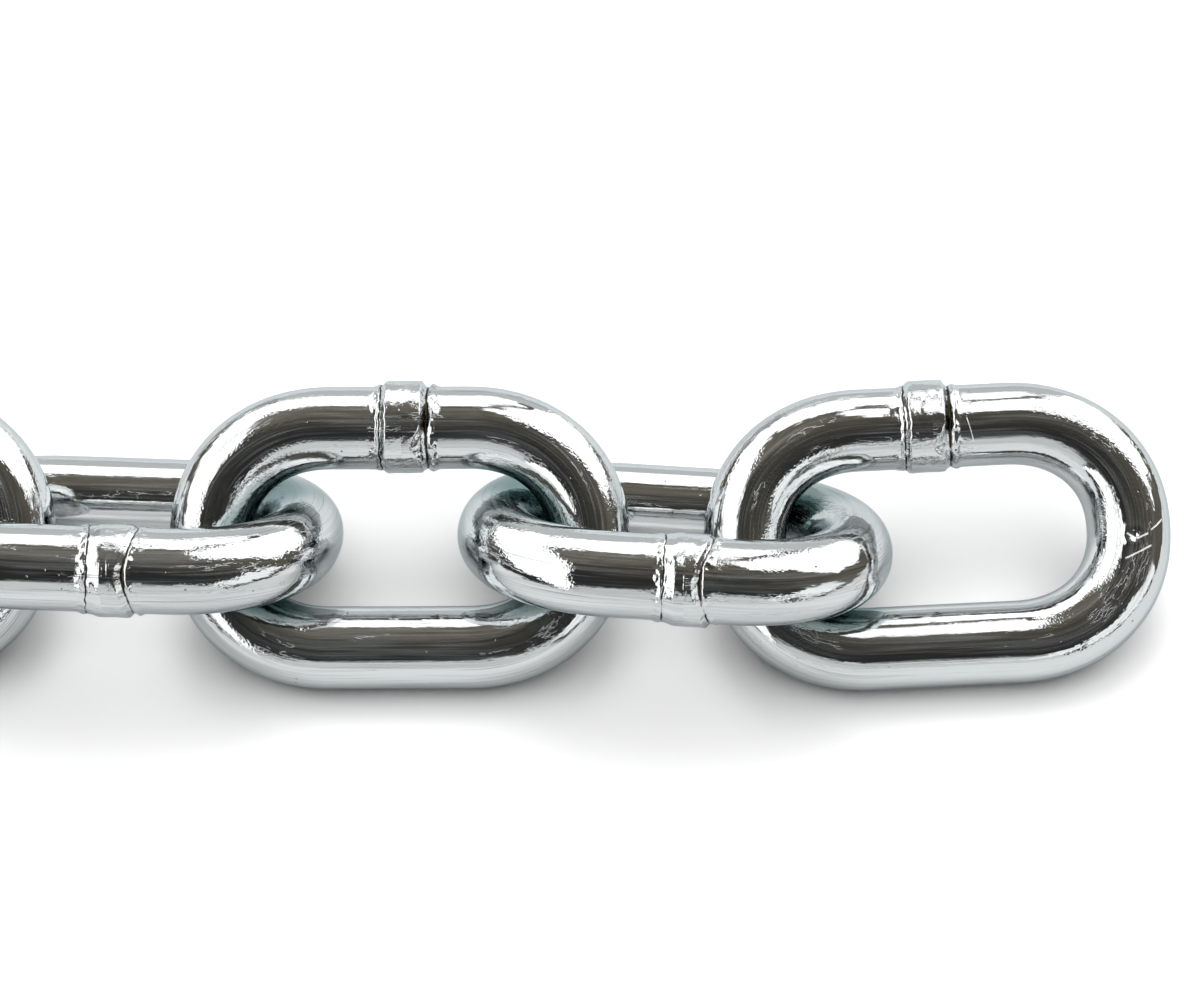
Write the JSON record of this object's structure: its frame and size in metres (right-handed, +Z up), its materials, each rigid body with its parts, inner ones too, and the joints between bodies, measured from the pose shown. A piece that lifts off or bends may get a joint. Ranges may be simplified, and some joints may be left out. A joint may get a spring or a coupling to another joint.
{
  "type": "steel chain",
  "caption": "Length of welded steel chain with oval links, zinc plated, lying straight, each link leaning against the next.",
  "frame": {"origin": "middle of the chain, on the surface that it lies on", "axes": "+X along the chain towards its free right end, +Z up"},
  "size_m": [0.3292, 0.0346, 0.0262],
  "materials": {
    "zinc_plate": "bright zinc plate over drawn steel bar, fine draw lines along the bar, bright flash at the welds"
  },
  "bodies": {
    "link_1": {"link_1": "zinc_plate"},
    "link_2": {"link_2": "zinc_plate"},
    "link_3": {"link_3": "zinc_plate"},
    "link_4": {"link_4": "zinc_plate"},
    "link_5": {"link_5": "zinc_plate"},
    "link_6": {"link_6": "zinc_plate"},
    "link_7": {"link_7": "zinc_plate"},
    "link_8": {"link_8": "zinc_plate"},
    "link_9": {"link_9": "zinc_plate"}
  },
  "joints": [
    {"name": "link_2_swing", "type": "hinge", "parent": "link_1", "child": "link_2", "pos_m": [-0.1129, 0.00002, 0.01276], "axis": [0, 0.5878, 0.809], "range_deg": [-90, 90]},
    {"name": "link_3_swing", "type": "hinge", "parent": "link_2", "child": "link_3", "pos_m": [-0.0782, 0.00002, 0.01276], "axis": [0, -0.5878, 0.809], "range_deg": [-90, 90]},
    {"name": "link_4_swing", "type": "hinge", "parent": "link_3", "child": "link_4", "pos_m": [-0.0435, 0.00002, 0.01276], "axis": [0, -0.5878, -0.809], "range_deg": [-90, 90]},
    {"name": "link_5_swing", "type": "hinge", "parent": "link_4", "child": "link_5", "pos_m": [-0.0088, 0.00002, 0.01276], "axis": [0, 0.5878, -0.809], "range_deg": [-90, 90]},
    {"name": "link_6_swing", "type": "hinge", "parent": "link_5", "child": "link_6", "pos_m": [0.02591, 0.00097, 0.01276], "axis": [0.0246, 0.5873, 0.809], "range_deg": [-90, 90]},
    {"name": "link_7_swing", "type": "hinge", "parent": "link_6", "child": "link_7", "pos_m": [0.0606, -0.00044, 0.01276], "axis": [0.0031, -0.5878, 0.809], "range_deg": [-90, 90]},
    {"name": "link_8_swing", "type": "hinge", "parent": "link_7", "child": "link_8", "pos_m": [0.09533, -0.00009, 0.01276], "axis": [-0.0441, -0.5861, -0.809], "range_deg": [-90, 90]},
    {"name": "link_9_swing", "type": "hinge", "parent": "link_8", "child": "link_9", "pos_m": [0.12502, -0.00023, 0.012], "axis": [-0.0305, 0.529, -0.848], "range_deg": [-90, 90]}
  ]
}
